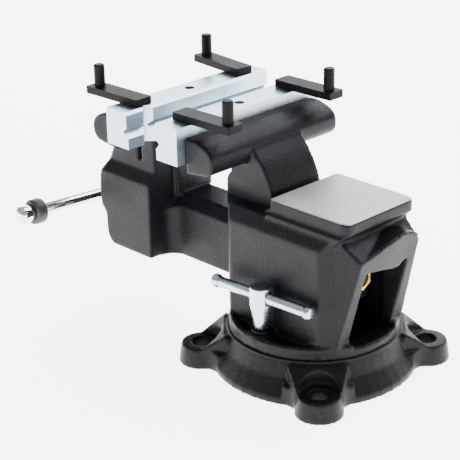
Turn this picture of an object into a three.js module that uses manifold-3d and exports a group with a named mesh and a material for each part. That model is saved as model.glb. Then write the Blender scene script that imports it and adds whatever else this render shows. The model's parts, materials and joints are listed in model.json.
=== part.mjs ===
// Bench vise with an anvil on a four-lug swivel base, multi-purpose jaw bars and swing arms with upright pins.
// Millimetres, +Z up. The origin is on the swivel axis, on the bench plane.
// +Y runs along the screw axis from the handle to the anvil, and +X is on the user's right.
import * as THREE from "three";
import { mergeVertices } from "three/addons/utils/BufferGeometryUtils.js";
import Module from "manifold-3d";

const wasm = await Module();
wasm.setup();

// ---------- driving sizes ----------
const FIT = 0.3; // gap between faces that touch on the real vise
const SLIDE_FIT = 0.5; // gap round the slide beam
const BORE_FIT = 0.4; // gap round a shaft in its bore

const SCREW_Z = 68.5; // height of the screw's axis; the castings are built up round it
const BASE_TOP_R = 56; // radius of the swivel joint
const BASE_TOP_Z = 26; // height of the swivel joint
const JAW_WIDTH = 127; // length of both jaw bars
const JAW_GAP = 27.5; // opening between the jaw faces as modelled
const STATIC_FACE_Y = -74.5; // clamping face of the static bar

const BAR_RISE = 90.5; // from the screw's axis to the top of the bars
const BAR_HEIGHT = 24;
const BAR_THICK = 19;
const BAR_HOLE_R = 3.4; // vertical hole in the middle of each bar
const BAR_LIP = 1.3; // the lower half of the moving bar stands proud
const BAR_CHAMFER = 1.8; // on the moving bar's top inner edge
const V_HEIGHT = 6.8; // horizontal V groove in both bars
const V_DEPTH = 3.2;
const V_DROP = 13.4; // from the top of the bars to the middle of the grooves
const UPRIGHT_V_INSET = 18.5; // upright V groove, from the right end of the moving bar
const UPRIGHT_V_WIDTH = 8.4;

const ARM_LENGTH = 48;
const ARM_WIDTH = 13;
const ARM_THICK = 4.8;
const ARM_INSET = 18; // pivot, from the end of the bar
const PIN_R = 3.6;
const PIN_HEIGHT = 14.5; // above the arm
const PIVOT_R = 2.5;
const PIVOT_DEPTH = 9; // below the top of the bar
const PIN_REACH = 35; // pivot to pin

const BASE_FLARE = 10; // how far the cone spreads from the joint to the foot
const BASE_SKIRT = 4; // upright stretch at the foot of the cone
const BASE_FLOOR = 6;
const BASE_LIP = 8; // thickness of the lips over the T slot
const HUB_BORE_R = 30;
const HUB_DEPTH = 13; // depth of the bore that takes the body's spigot
const SLOT_INSET = 10; // middle of the ring-shaped T slot, in from the joint's edge
const SLOT_MOUTH = 10;
const SLOT_WIDTH = 18;
const LUG_REACH = 6.1; // bolt hole, out from the foot of the cone
const LUG_PAD_R = 13.5;
const LUG_FOOT_R = 15.5;
const LUG_PAD_Z = 13;
const LUG_FILLET = 13;
const BOLT_HOLE_R = 6.5;
const SCOOP_R = 12.6;
const GUSSET_ROOT = 38; // width of a gusset at the ring

const FOOT_STEP = 1.3; // the foot is this much smaller than the base's top
const FOOT_THICK = 8;
const FOOT_RIM = 4;
const FOOT_POCKET = 3; // depth of the pocket inside the rim

const WALL_X = 37.5; // half width of the body's front stretch
const REAR_WALL_X = 31.5; // half width of the body's rear stretch
const WALL_STEP_Y = 37.5; // where the body narrows
const BODY_SETBACK = 17.5; // front of the body, behind the static jaw's face
const FRONT_CORNER_Y = -38.5; // where the front corners start
const FRONT_HALF = 20; // half width of the front face
const BODY_REAR_Y = 62; // rear edge at the hood's springing
const ROOF = 16.5; // from the top of the beam to the body's shoulder
const CHAMFER = 9; // height of the chamfer under the shoulder
const SHOULDER_X = 32;
const HOOD_X = 26; // half width of the hood
const HOOD_DROP = 12.5; // from the shoulder down to the hood's springing
const HOOD_RISE = 9; // height of the hood's arch
const HOOD_CROWN_X = -9; // the crown stands to the left of the middle
const REAR_LEAN = 0.26; // how far the rear edge leans back for each unit up
const REAR_WALL = 6.5; // thickness of the walls beside the rear opening
const HOOD_LIP = 9.5; // from the springing down to the rear opening
const OPENING_DROP = 6.5; // the hood's lower edge hangs this much lower at its crown
const NECK_X = 22; // half width of the static neck
const CAVITY_FRONT_Y = 8; // front of the hollow behind the beam's channel

const ANVIL_RISE = 11; // above the shoulder
const ANVIL_X = 31;
const ANVIL_FRONT_Y = -9;
const ANVIL_REAR_Y = 54.5;
const ANVIL_SLAB = 8;
const ANVIL_CORNER = 5;

const HEAD_INSET = 7; // the heads are this much shorter than the bars at each end
const HEAD_DEPTH = 23;
const HEAD_DROP = 7.5; // top of the head, below the top of the bar
const HEAD_HEIGHT = 23;

const BLOCK_X = 39; // half width of the moving block
const BLOCK_NECK_X = 33;
const BLOCK_FRONT_OVERLAP = 9; // the block reaches this far under the bar
const BLOCK_DEPTH = 50; // from the face under the bar to the outside face
const BLOCK_ROOF = 10.5; // from the top of the beam to the block's shoulder
const BLOCK_CHAMFER = 7.5;

const BEAM_X = 18.5;
const BEAM_TOP_X = 11.5;
const BEAM_RISE = 21; // the beam's top and bottom, from the screw's axis
const BEAM_SHOULDER = 6.5;
const BEAM_WALL = 7;
const BEAM_REAR_Y = 29;
const BEAM_ROOT = 10.5; // radius of the fillet between the beam and the block
const RIB_X = 15.5; // half width of the rib that carries the bar's boss down to the beam
const RIB_PROUD = 3.5;
const RELIEF_DEPTH = 26; // the block is relieved above the beam on its left side
const RELIEF_RISE = 1; // bottom of the relief above the screw's axis

const SCREW_R = 7;
const SCREW_COLLAR = 4; // the screw's head is this much bigger than its shank
const SCREW_HEAD_LENGTH = 24;
const HANDLE_SEAT = 14.5; // from the head's shoulder to the handle's axis
const SCREW_END_Y = 40;
const END_NUT_WALL = 1.3; // least wall of the nut on the screw's end
const SCREW_BOSS_R = 18;
const SCREW_BOSS_LENGTH = 8;
const WASHER_THICK = 2.4;
const HANDLE_TILT = 3.3; // degrees, +X end up

const HANDLE_R = 4.05;
const HANDLE_HALF = 92;
const HANDLE_STUB_R = 2.6;
const HANDLE_STUB = 7;
const KNOB_R = 6.4;
const KNOB_LENGTH = 12;
const COLLAR_WALL = 4.6;
const COLLAR_LENGTH = 9;

const NUT_SETBACK = 2; // behind the front of the body
const NUT_LENGTH = 22;
const NUT_FOOT = 25; // how far the nut's foot runs back from the nut
const NUT_FOOT_THICK = 6;
const NUT_BOLT_R = 3.5;

const LOCK_Y = -2;
const LOCK_HEIGHT = 28.5; // from the washer to the top of the lock screw
const LOCK_TOP_R = 7.3;
const LOCK_FOOT_R = 4.8;
const LOCK_BARREL = 12; // length of the straight barrel at the top
const LOCK_SHANK_R = 3.8;
const LOCK_BOSS = 4; // height of the boss that the lock screw's washer sits on
const LOCK_WASHER_R = 6.3;
const LOCK_WASHER = 1.7;
const TBAR_DROP = 7; // T bar below the top of the lock screw
const TBAR_R = 3.5;
const TBAR_HALF = 39;
const TBAR_END_R = 4.4;
const TBAR_END = 5;
const TBAR_TURN = 4; // degrees
const TNUT_HEIGHT = 9;
const TNUT_RADIAL = 13;
const TNUT_ALONG = 14;

// ---------- sizes worked out from the driving ones ----------
const BEAM_TOP_Z = SCREW_Z + BEAM_RISE;
const BEAM_BOTTOM_Z = SCREW_Z - BEAM_RISE;
const SHOULDER_Z = BEAM_TOP_Z + ROOF;
const CHAMFER_Z = SHOULDER_Z - CHAMFER;
const HOOD_TOP_Z = SHOULDER_Z + 0.5;
const HOOD_SPRING_Z = SHOULDER_Z - HOOD_DROP;
const HOOD_CROWN_Z = HOOD_SPRING_Z + HOOD_RISE;
const OPENING_TOP_Z = HOOD_SPRING_Z - HOOD_LIP;
const ANVIL_Z = SHOULDER_Z + ANVIL_RISE;
const RELIEF_BOTTOM_Z = SCREW_Z + RELIEF_RISE;
const BLOCK_BOTTOM_Z = BEAM_BOTTOM_Z + 0.5;
const BLOCK_SHOULDER_Z = BEAM_TOP_Z + BLOCK_ROOF;
const BLOCK_NECK_Z = BLOCK_SHOULDER_Z + BLOCK_CHAMFER;
const BAR_TOP = SCREW_Z + BAR_RISE;
const BAR_BOTTOM = BAR_TOP - BAR_HEIGHT;
const V_MIDDLE_Z = BAR_TOP - V_DROP;
const HEAD_TOP_Z = BAR_TOP - HEAD_DROP;
const HEAD_BOTTOM_Z = HEAD_TOP_Z - HEAD_HEIGHT;
const HEAD_X = JAW_WIDTH / 2 - HEAD_INSET;
const ARM_X = JAW_WIDTH / 2 - ARM_INSET;
const UPRIGHT_V_X = JAW_WIDTH / 2 - UPRIGHT_V_INSET;
const ARM_Z = BAR_TOP + FIT;
const ARM_TOP_Z = ARM_Z + ARM_THICK;
const STATIC_BACK_Y = STATIC_FACE_Y + BAR_THICK;
const MOVING_FACE_Y = STATIC_FACE_Y - JAW_GAP;
const MOVING_BACK_Y = MOVING_FACE_Y - BAR_THICK;
const BODY_FRONT_Y = STATIC_FACE_Y + BODY_SETBACK;
const BLOCK_FACE_Y = MOVING_BACK_Y + BLOCK_FRONT_OVERLAP;
const BLOCK_OUTER_Y = BLOCK_FACE_Y - BLOCK_DEPTH;
const BASE_FOOT_R = BASE_TOP_R + BASE_FLARE;
const LUG_CENTRE = BASE_FOOT_R + LUG_REACH;
const SLOT_MIDDLE_R = BASE_TOP_R - SLOT_INSET;
const SLOT_IN_R = SLOT_MIDDLE_R - SLOT_WIDTH / 2;
const SLOT_OUT_R = SLOT_MIDDLE_R + SLOT_WIDTH / 2;
const LIP_Z = BASE_TOP_Z - BASE_LIP;
const FOOT_R = BASE_TOP_R - FOOT_STEP;
const FOOT_Z = BASE_TOP_Z + FIT;
const FOOT_TOP_Z = FOOT_Z + FOOT_THICK;
const POCKET_Z = FOOT_TOP_Z - FOOT_POCKET;
const LOCK_X = Math.sqrt(SLOT_MIDDLE_R ** 2 - LOCK_Y ** 2);
const LOCK_SEAT_Z = POCKET_Z + LOCK_BOSS;
const LOCK_FOOT_Z = LOCK_SEAT_Z + 2 * FIT + LOCK_WASHER;
const LOCK_TOP_Z = LOCK_FOOT_Z + LOCK_HEIGHT;
const TBAR_Z = LOCK_TOP_Z - TBAR_DROP;
const SCREW_HEAD_R = SCREW_R + SCREW_COLLAR;
const SCREW_BOSS_Y = BLOCK_OUTER_Y - SCREW_BOSS_LENGTH;
const SCREW_SHOULDER_Y = SCREW_BOSS_Y - 2 * FIT - WASHER_THICK;
const SCREW_HEAD_Y = SCREW_SHOULDER_Y - SCREW_HEAD_LENGTH;
const HANDLE_Y = SCREW_SHOULDER_Y - HANDLE_SEAT;
const COLLAR_R = HANDLE_R + FIT + COLLAR_WALL;
const CHANNEL_TOP_Z = BEAM_TOP_Z - BEAM_WALL - 1.5;
const CHANNEL_X = BEAM_X - BEAM_WALL;
const CHANNEL_FLOOR_Z = BEAM_BOTTOM_Z - SLIDE_FIT;
const NUT_FRONT_Y = BODY_FRONT_Y + NUT_SETBACK;
const NUT_REAR_Y = NUT_FRONT_Y + NUT_LENGTH;

// ---------- solids ----------
const WIDE = 48; // sides of the swivel base
const ROUND = 32; // sides of a large round piece
const SMALL = 20; // sides of a small round piece

function solid(geometry) {
  const bare = geometry.index ? geometry.toNonIndexed() : geometry.clone();
  bare.deleteAttribute("normal");
  bare.deleteAttribute("uv");
  const merged = mergeVertices(bare, 1e-4);
  return new wasm.Manifold(
    new wasm.Mesh({
      numProp: 3,
      vertProperties: merged.attributes.position.array,
      triVerts: new Uint32Array(merged.index.array),
    }),
  );
}

const join = (first, ...rest) => rest.reduce((all, one) => all.add(one), first);
const cut = (first, ...rest) => rest.reduce((all, one) => all.subtract(one), first);
const common = (first, ...rest) => rest.reduce((all, one) => all.intersect(one), first);

// An outline through corners [a, b, rounding]; a rounded corner is a curve that starts and ends that far from it.
function outline(corners) {
  const shape = new THREE.Shape();
  const points = corners.map(([a, b]) => new THREE.Vector2(a, b));
  corners.forEach(([, , wanted = 0], i) => {
    const here = points[i];
    const toLast = points[(i + points.length - 1) % points.length].clone().sub(here);
    const toNext = points[(i + 1) % points.length].clone().sub(here);
    const rounding = Math.min(wanted, 0.45 * toLast.length(), 0.45 * toNext.length());
    const start = here.clone().add(toLast.setLength(rounding));
    const end = here.clone().add(toNext.setLength(rounding));
    if (i === 0) shape.moveTo(start.x, start.y);
    else shape.lineTo(start.x, start.y);
    if (rounding > 0) shape.quadraticCurveTo(here.x, here.y, end.x, end.y);
  });
  return shape;
}

function extruded(shape, length, segments = 4) {
  return new THREE.ExtrudeGeometry(shape, { depth: length, bevelEnabled: false, curveSegments: segments });
}

// An (x, y) outline from z0 up to z1.
function alongZ(shape, z0, z1, segments) {
  return solid(extruded(shape, z1 - z0, segments).translate(0, 0, z0));
}

// A (y, z) outline from x0 to x1.
function alongX(shape, x0, x1, segments) {
  const turn = new THREE.Matrix4().makeBasis(
    new THREE.Vector3(0, 1, 0),
    new THREE.Vector3(0, 0, 1),
    new THREE.Vector3(1, 0, 0),
  );
  return solid(extruded(shape, x1 - x0, segments).applyMatrix4(turn).translate(x0, 0, 0));
}

// An (x, z) outline from y0 to y1.
function alongY(shape, y0, y1, segments) {
  const turn = new THREE.Matrix4().makeBasis(
    new THREE.Vector3(1, 0, 0),
    new THREE.Vector3(0, 0, 1),
    new THREE.Vector3(0, -1, 0),
  );
  return solid(extruded(shape, y1 - y0, segments).applyMatrix4(turn).translate(0, y1, 0));
}

function box(x0, x1, y0, y1, z0, z1) {
  const block = new THREE.BoxGeometry(x1 - x0, y1 - y0, z1 - z0);
  return solid(block.translate((x0 + x1) / 2, (y0 + y1) / 2, (z0 + z1) / 2));
}

// A round bar or cone along +Z with its axis at (x, y).
function uprightCone(r0, r1, z0, z1, x = 0, y = 0, sides = SMALL) {
  const cone = new THREE.CylinderGeometry(r1, r0, z1 - z0, sides).rotateX(Math.PI / 2);
  return solid(cone.translate(x, y, (z0 + z1) / 2));
}

const upright = (r, z0, z1, x, y, sides) => uprightCone(r, r, z0, z1, x, y, sides);

// A round bar along Y with its axis at (x, z).
function roundY(r, y0, y1, x, z, sides = SMALL) {
  return solid(new THREE.CylinderGeometry(r, r, Math.abs(y1 - y0), sides).translate(x, (y0 + y1) / 2, z));
}

// A turned piece about +Z from a profile of [radius, height].
function turned(profile, sides = ROUND) {
  const points = profile.map(([r, h]) => new THREE.Vector2(r, h));
  return solid(new THREE.LatheGeometry(points, sides).rotateX(Math.PI / 2));
}

const mirrored = (corners) => [...corners, ...corners.map(([a, b, r]) => [-a, b, r]).reverse()];

// ---------- materials ----------
const finish = (color, roughness, metalness) =>
  new THREE.MeshStandardMaterial({ color, roughness, metalness });
const BLACK_COAT = finish(0x2f2f33, 0.55, 0.1);
const ZINC = finish(0xc9d2d6, 0.32, 0.9);
const BLACK_OXIDE = finish(0x2b2726, 0.42, 0.6);
const CHROME = finish(0xe6e8ea, 0.08, 1);
const RUBBER = finish(0x1c1c1e, 0.8, 0);
const STEEL = finish(0x9a9ea2, 0.35, 0.9);
const BRASS = finish(0xb58a3c, 0.35, 0.9);

const vise = new THREE.Group();

function addPiece(name, shape, material) {
  const { numProp, vertProperties, triVerts } = shape.getMesh();
  const positions = new THREE.BufferAttribute(new Float32Array(vertProperties), numProp);
  const geometry = new THREE.BufferGeometry().setAttribute("position", positions);
  geometry.setIndex(new THREE.BufferAttribute(new Uint32Array(triVerts), 1));
  geometry.computeVertexNormals();
  const mesh = new THREE.Mesh(geometry, material.clone());
  mesh.name = name;
  vise.add(mesh);
  return mesh;
}

// ---------- swivel base ----------
// The plan of one lug, pointing along +X: a round end joined to the round base by two fillets.
function lugPlan() {
  const toBase = BASE_FOOT_R + LUG_FILLET;
  const toLug = LUG_PAD_R + LUG_FILLET;
  const u = (toBase ** 2 - toLug ** 2 + LUG_CENTRE ** 2) / (2 * LUG_CENTRE);
  const v = Math.sqrt(toBase ** 2 - u ** 2);
  const root = Math.atan2(v, u);
  const tip = Math.atan2(v, u - LUG_CENTRE);
  const shape = new THREE.Shape();
  shape.absarc(u, -v, LUG_FILLET, Math.PI - root, Math.PI - tip, true);
  shape.absarc(LUG_CENTRE, 0, LUG_PAD_R, -tip, tip, false);
  shape.absarc(u, v, LUG_FILLET, tip - Math.PI, root - Math.PI, true);
  shape.absarc(0, 0, SLOT_OUT_R + 1, root, -root, true);
  return shape;
}

// The gusset slopes from the ring down to the pad, and the scoop gives the bolt head room.
function lug() {
  const padEdge = LUG_CENTRE + 1;
  const plan = outline([
    [SLOT_OUT_R + 1, -GUSSET_ROOT / 2],
    [padEdge, -LUG_PAD_R],
    [padEdge, LUG_PAD_R],
    [SLOT_OUT_R + 1, GUSSET_ROOT / 2],
  ]);
  const slope = outline([
    [SLOT_OUT_R, 0],
    [padEdge, 0],
    [padEdge, LUG_PAD_Z],
    [BASE_TOP_R, BASE_TOP_Z - 0.6],
    [SLOT_OUT_R, BASE_TOP_Z - 0.6],
  ]);
  const gusset = common(alongZ(plan, 0, BASE_TOP_Z), alongY(slope, -GUSSET_ROOT, GUSSET_ROOT));
  const arm = alongZ(lugPlan(), 0, LUG_PAD_Z, 5);
  const tip = uprightCone(LUG_FOOT_R, LUG_PAD_R, 0, LUG_PAD_Z, LUG_CENTRE, 0, 24);
  return join(arm, tip, gusset);
}

function swivelBase() {
  const ring = turned(
    [
      [0, 0],
      [BASE_FOOT_R, 0],
      [BASE_FOOT_R, BASE_SKIRT],
      [(BASE_FOOT_R + BASE_TOP_R) / 2 - 1.5, (BASE_SKIRT + BASE_TOP_Z) / 2],
      [BASE_TOP_R, BASE_TOP_Z],
      [SLOT_MIDDLE_R + SLOT_MOUTH / 2, BASE_TOP_Z],
      [SLOT_MIDDLE_R + SLOT_MOUTH / 2, LIP_Z],
      [SLOT_OUT_R, LIP_Z],
      [SLOT_OUT_R, BASE_FLOOR],
      [SLOT_IN_R, BASE_FLOOR],
      [SLOT_IN_R, LIP_Z],
      [SLOT_MIDDLE_R - SLOT_MOUTH / 2, LIP_Z],
      [SLOT_MIDDLE_R - SLOT_MOUTH / 2, BASE_TOP_Z],
      [HUB_BORE_R, BASE_TOP_Z],
      [HUB_BORE_R, BASE_TOP_Z - HUB_DEPTH],
      [0, BASE_TOP_Z - HUB_DEPTH],
    ],
    WIDE,
  );
  let base = ring;
  for (const quarter of [0, 1, 2, 3]) {
    const angle = 45 + 90 * quarter;
    base = base.add(lug().rotate([0, 0, angle]));
  }
  for (const quarter of [0, 1, 2, 3]) {
    const angle = THREE.MathUtils.degToRad(45 + 90 * quarter);
    const x = LUG_CENTRE * Math.cos(angle);
    const y = LUG_CENTRE * Math.sin(angle);
    const hole = upright(BOLT_HOLE_R, -1, LUG_PAD_Z + 1, x, y);
    const scoop = upright(SCOOP_R, LUG_PAD_Z, BASE_TOP_Z + 5, x, y, 24);
    base = cut(base, hole, scoop);
  }
  addPiece("swivel_base", base, BLACK_COAT);
}

// ---------- body ----------
// The D-shaped section of a jaw head: flat at y = 0, round at the back, which is towards +Y.
function headSection() {
  return outline([
    [0, HEAD_BOTTOM_Z],
    [HEAD_DEPTH - 4, HEAD_BOTTOM_Z + 2.5, 3],
    [HEAD_DEPTH, HEAD_BOTTOM_Z + 7, 3],
    [HEAD_DEPTH, HEAD_TOP_Z - 8, 4],
    [HEAD_DEPTH - 5, HEAD_TOP_Z - 3, 4],
    [HEAD_DEPTH - 15, HEAD_TOP_Z],
    [0, HEAD_TOP_Z],
  ]);
}

// The beam's section, grown by a clearance.
function beamSection(grown, bottom) {
  return outline(
    mirrored([
      [BEAM_X + grown, bottom],
      [BEAM_X + grown, BEAM_TOP_Z - BEAM_SHOULDER + grown / 2],
      [BEAM_TOP_X + grown / 2, BEAM_TOP_Z + grown],
    ]),
  );
}

const rearEdge = (z) => BODY_REAR_Y + REAR_LEAN * (z - HOOD_SPRING_Z);

function bodyBlock() {
  const plan = outline(
    mirrored([
      [FRONT_HALF, BODY_FRONT_Y],
      [WALL_X, FRONT_CORNER_Y],
      [WALL_X, WALL_STEP_Y, 1],
      [REAR_WALL_X, WALL_STEP_Y + WALL_X - REAR_WALL_X, 1],
      [HOOD_X, BODY_REAR_Y + 4],
    ]),
  );
  const side = outline([
    [BODY_FRONT_Y + 7, POCKET_Z],
    [BODY_FRONT_Y, POCKET_Z + 14, 4],
    [BODY_FRONT_Y, SHOULDER_Z],
    [ANVIL_REAR_Y - 9, SHOULDER_Z],
    [rearEdge(HOOD_SPRING_Z), HOOD_SPRING_Z],
    [rearEdge(POCKET_Z), POCKET_Z],
  ]);
  const across = outline(
    mirrored([
      [WALL_X, POCKET_Z],
      [WALL_X, CHAMFER_Z, 1],
      [SHOULDER_X, SHOULDER_Z],
    ]),
  );
  return common(
    alongZ(plan, POCKET_Z, SHOULDER_Z),
    alongX(side, -WALL_X, WALL_X),
    alongY(across, BODY_FRONT_Y, BODY_REAR_Y + 5),
  );
}

// The arched hood over the rear opening; its crown rises towards the left.
function hood() {
  const front = ANVIL_REAR_Y - 14;
  const side = outline([
    [front, HOOD_SPRING_Z - 6],
    [rearEdge(HOOD_SPRING_Z - 6), HOOD_SPRING_Z - 6],
    [rearEdge(HOOD_CROWN_Z), HOOD_CROWN_Z, 1],
    [ANVIL_REAR_Y - 3, HOOD_TOP_Z],
    [front, HOOD_TOP_Z],
  ]);
  const rise = HOOD_CROWN_Z - HOOD_SPRING_Z;
  const crown = new THREE.SplineCurve([
    new THREE.Vector2(HOOD_X, HOOD_SPRING_Z),
    new THREE.Vector2(HOOD_X * 0.35, HOOD_SPRING_Z + rise * 0.52),
    new THREE.Vector2(HOOD_CROWN_X, HOOD_CROWN_Z),
    new THREE.Vector2(-HOOD_X + 3, HOOD_CROWN_Z - 3.2),
    new THREE.Vector2(-HOOD_X, HOOD_SPRING_Z),
  ]);
  const across = new THREE.Shape([
    ...crown.getPoints(14),
    new THREE.Vector2(-HOOD_X, HOOD_SPRING_Z - 7),
    new THREE.Vector2(HOOD_X, HOOD_SPRING_Z - 7),
  ]);
  const top = box(-HOOD_X, HOOD_X, front, ANVIL_REAR_Y - 5, HOOD_SPRING_Z - 6, HOOD_TOP_Z);
  return common(
    alongX(side, -HOOD_X, HOOD_X),
    join(alongY(across, front, BODY_REAR_Y + 5), top),
  );
}

function anvil() {
  const top = outline([
    [-ANVIL_X, ANVIL_FRONT_Y, 1],
    [ANVIL_X, ANVIL_FRONT_Y, 1],
    [ANVIL_X, ANVIL_REAR_Y, ANVIL_CORNER],
    [-ANVIL_X, ANVIL_REAR_Y, ANVIL_CORNER],
  ]);
  const cove = outline(
    mirrored([
      [SHOULDER_X + 1, SHOULDER_Z - 4],
      [SHOULDER_X + 1, SHOULDER_Z + 1],
      [ANVIL_X - 0.5, ANVIL_Z - ANVIL_SLAB + 0.5],
    ]),
  );
  const neck = outline([
    [ANVIL_FRONT_Y - 3, SHOULDER_Z - 4],
    [ANVIL_REAR_Y - 9, SHOULDER_Z - 4],
    [ANVIL_REAR_Y - 5, SHOULDER_Z],
    [ANVIL_REAR_Y - 1, ANVIL_Z - ANVIL_SLAB + 0.5],
    [ANVIL_FRONT_Y, ANVIL_Z - ANVIL_SLAB + 0.5],
  ]);
  return join(
    alongZ(top, ANVIL_Z - ANVIL_SLAB, ANVIL_Z, 3),
    common(alongY(cove, ANVIL_FRONT_Y - 3, ANVIL_REAR_Y), alongX(neck, -SHOULDER_X - 1, SHOULDER_X + 1)),
  );
}

// The neck rises from the front of the body and carries the head of the static jaw.
function staticNeck() {
  const front = STATIC_BACK_Y + FIT;
  const side = outline([
    [BODY_FRONT_Y, SHOULDER_Z - 8],
    [BODY_FRONT_Y, SHOULDER_Z + 10, 3],
    [BODY_FRONT_Y + 7, HEAD_BOTTOM_Z - 4.5, 4],
    [front, HEAD_BOTTOM_Z + 2],
    [front, HEAD_TOP_Z],
    [front + 8, HEAD_TOP_Z, 4],
    [front + 20, HEAD_TOP_Z - 7, 6],
    [front + 32, HEAD_BOTTOM_Z + 3, 8],
    [front + 39, HEAD_BOTTOM_Z - 10, 6],
    [front + 42.5, SHOULDER_Z - 8],
  ]);
  const flare = outline(
    mirrored([
      [SHOULDER_X, SHOULDER_Z - 8],
      [SHOULDER_X, SHOULDER_Z],
      [NECK_X + 2.5, SHOULDER_Z + 2],
      [NECK_X, SHOULDER_Z + 7, 3],
      [NECK_X, HEAD_TOP_Z],
    ]),
  );
  const plan = outline(
    mirrored([
      [FRONT_HALF, BODY_FRONT_Y],
      [WALL_X, FRONT_CORNER_Y],
      [WALL_X, STATIC_BACK_Y + 50],
    ]),
  );
  return common(
    alongX(side, -SHOULDER_X, SHOULDER_X),
    alongY(flare, BODY_FRONT_Y, STATIC_BACK_Y + 50),
    alongZ(plan, SHOULDER_Z - 9, HEAD_TOP_Z + 1),
  );
}

// The boss takes the bolt that holds a jaw bar down; it stands in front of the head, under the bar.
function barBoss(faceY, backY) {
  const y0 = Math.min(faceY, backY);
  const y1 = Math.max(faceY, backY);
  return box(-10, 10, y0, y1, HEAD_BOTTOM_Z - 8, BAR_BOTTOM - FIT);
}

const barMiddle = (face, back) => (face + back) / 2;
const boltHole = (y) => upright(BAR_HOLE_R, HEAD_BOTTOM_Z - 4, BAR_TOP, 0, y);

function viseBody() {
  const front = STATIC_BACK_Y + FIT;
  const foot = turned([
    [0, FOOT_Z - HUB_DEPTH + 2],
    [HUB_BORE_R - BORE_FIT, FOOT_Z - HUB_DEPTH + 2],
    [HUB_BORE_R - BORE_FIT, FOOT_Z],
    [FOOT_R, FOOT_Z],
    [FOOT_R, FOOT_TOP_Z - 1],
    [FOOT_R - 1, FOOT_TOP_Z],
    [FOOT_R - FOOT_RIM, FOOT_TOP_Z],
    [FOOT_R - FOOT_RIM - 2, POCKET_Z],
    [0, POCKET_Z],
  ]);
  const head = alongX(headSection(), -HEAD_X, HEAD_X).translate([0, front, 0]);
  const boss = barBoss(STATIC_FACE_Y + 3, front + 2);
  const whole = join(foot, bodyBlock(), hood(), anvil(), staticNeck(), head, boss);
  const channel = alongY(beamSection(SLIDE_FIT, CHANNEL_FLOOR_Z), BODY_FRONT_Y - 5, BODY_REAR_Y - 5.5);
  const openingX = HOOD_X - REAR_WALL;
  const floor = POCKET_Z + 0.5;
  const opening = alongY(
    outline([
      [-openingX, floor],
      [openingX, floor],
      [openingX, OPENING_TOP_Z, 2],
      [HOOD_CROWN_X - 3, OPENING_TOP_Z - OPENING_DROP, 6],
      [-openingX, OPENING_TOP_Z, 6],
    ]),
    CAVITY_FRONT_Y,
    BODY_REAR_Y + 8,
  );
  const cavity = box(-openingX - 3, openingX + 3, CAVITY_FRONT_Y, rearEdge(floor) - 7, floor, CHAMFER_Z - 4);
  const nutSeat = box(
    -CHANNEL_X,
    CHANNEL_X,
    NUT_FRONT_Y - FIT,
    NUT_REAR_Y + NUT_FOOT + FIT,
    CHANNEL_FLOOR_Z - NUT_FOOT_THICK - FIT,
    CHANNEL_FLOOR_Z + 1,
  );
  const boltY = NUT_REAR_Y + NUT_FOOT / 2;
  const nutBolt = upright(NUT_BOLT_R + BORE_FIT, 0, CHANNEL_FLOOR_Z, 0, boltY);
  const nutBoltHead = upright(6.8, 0, FOOT_Z - 1, 0, boltY);
  let body = cut(whole, channel, cavity, opening, nutSeat, nutBolt, nutBoltHead);
  for (const side of [-1, 1]) {
    const boss = uprightCone(LOCK_WASHER_R + 3, LOCK_WASHER_R + 1.5, POCKET_Z - 1, LOCK_SEAT_Z, side * LOCK_X, LOCK_Y);
    const hole = upright(LOCK_SHANK_R + BORE_FIT, 0, LOCK_SEAT_Z + 1, side * LOCK_X, LOCK_Y);
    body = cut(join(body, boss), hole);
  }
  body = cut(body, boltHole(barMiddle(STATIC_FACE_Y, STATIC_BACK_Y)));
  addPiece("vise_body", body, BLACK_COAT);
}

// ---------- moving jaw ----------
function movingBlock() {
  const back = BLOCK_OUTER_Y;
  const side = outline([
    [BLOCK_FACE_Y, BLOCK_BOTTOM_Z, 1],
    [BLOCK_FACE_Y, BAR_BOTTOM - FIT],
    [MOVING_BACK_Y - FIT - 18, BAR_BOTTOM - FIT, 3],
    [MOVING_BACK_Y - FIT - 20, HEAD_BOTTOM_Z, 3],
    [back + 8.5, BAR_BOTTOM - 18, 5],
    [back, BLOCK_SHOULDER_Z - 3, 6],
    [back, SCREW_Z + 7, 2],
    [back + 5, SCREW_Z + 1, 3],
    [back + 5.5, BLOCK_BOTTOM_Z + 6, 3],
    [back + 10, BLOCK_BOTTOM_Z, 3],
  ]);
  const across = outline(
    mirrored([
      [BLOCK_X, BLOCK_BOTTOM_Z, 1],
      [BLOCK_X, BLOCK_SHOULDER_Z, 1],
      [BLOCK_NECK_X, BLOCK_NECK_Z, 1],
      [BLOCK_NECK_X, BAR_BOTTOM],
    ]),
  );
  return common(
    alongX(side, -BLOCK_X, BLOCK_X),
    alongY(across, back, BLOCK_FACE_Y),
  );
}

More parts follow.
